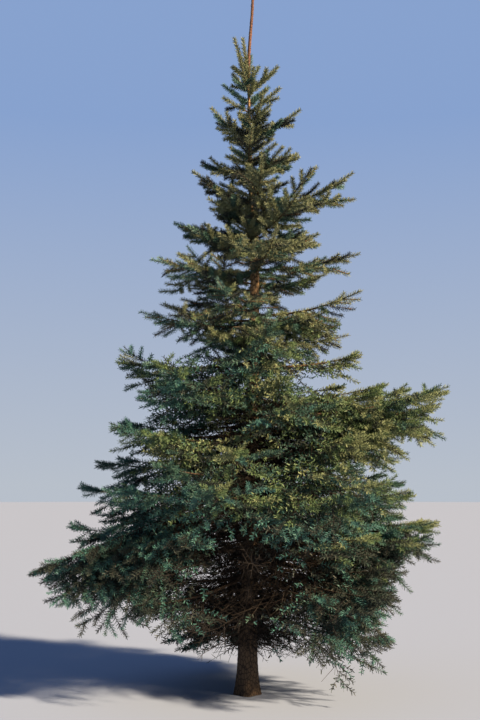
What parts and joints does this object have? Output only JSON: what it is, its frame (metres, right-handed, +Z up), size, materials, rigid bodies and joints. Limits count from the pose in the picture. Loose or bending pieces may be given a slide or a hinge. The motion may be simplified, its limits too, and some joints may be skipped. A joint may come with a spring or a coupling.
{
  "type": "spruce tree",
  "caption": "Young blue-green spruce rooted in open ground: tapering trunk, whorls of boughs with upturned tips and sprays of short needles, bare leader at the top.",
  "frame": {"origin": "centre of the trunk's flat cut at ground level", "axes": "+Z up the trunk, +X to the viewer's right and +Y away from the viewer in the picture"},
  "size_m": [3.1992, 2.6763, 5.6991],
  "materials": {
    "bark": "grey-brown scaly bark, matt, more orange on the young wood near the top",
    "dead_wood": "dry reddish-brown dead twigs, matt",
    "needles": "short stiff blue-green needles with a thin waxy bloom, half matt"
  },
  "bodies": {
    "root": {"bough_10_1": "bark", "bough_12_1": "bark", "bough_12_3": "bark", "bough_13_3": "bark", "bough_14_1": "bark", "dead_bough_14_3": "dead_wood", "foliage_10_1": "needles", "foliage_10_2": "needles", "foliage_10_3": "needles", "foliage_10_4": "needles", "foliage_10_5": "needles", "foliage_11_1": "needles", "foliage_11_2": "needles", "foliage_11_3": "needles", "foliage_11_4": "needles", "foliage_11_5": "needles", "foliage_12_1": "needles", "foliage_12_2": "needles", "foliage_12_3": "needles", "foliage_12_4": "needles", "foliage_12_5": "needles", "foliage_13_1": "needles", "foliage_13_2": "needles", "foliage_13_3": "needles", "foliage_13_4": "needles", "foliage_14_1": "needles", "foliage_14_2": "needles", "foliage_1_1": "needles", "foliage_1_2": "needles", "foliage_1_3": "needles", "foliage_2_1": "needles", "foliage_2_2": "needles", "foliage_3_1": "needles", "foliage_3_2": "needles", "foliage_3_3": "needles", "foliage_3_4": "needles", "foliage_4_1": "needles", "foliage_4_2": "needles", "foliage_4_3": "needles", "foliage_5_1": "needles", "foliage_5_2": "needles", "foliage_5_3": "needles", "foliage_5_4": "needles", "foliage_6_1": "needles", "foliage_6_2": "needles", "foliage_6_3": "needles", "foliage_7_1": "needles", "foliage_7_2": "needles", "foliage_7_3": "needles", "foliage_7_4": "needles", "foliage_8_1": "needles", "foliage_8_2": "needles", "foliage_8_3": "needles", "foliage_8_4": "needles", "foliage_9_1": "needles", "foliage_9_2": "needles", "foliage_9_3": "needles", "foliage_9_4": "needles", "leader": "needles", "trunk": "bark"}
  },
  "joints": []
}
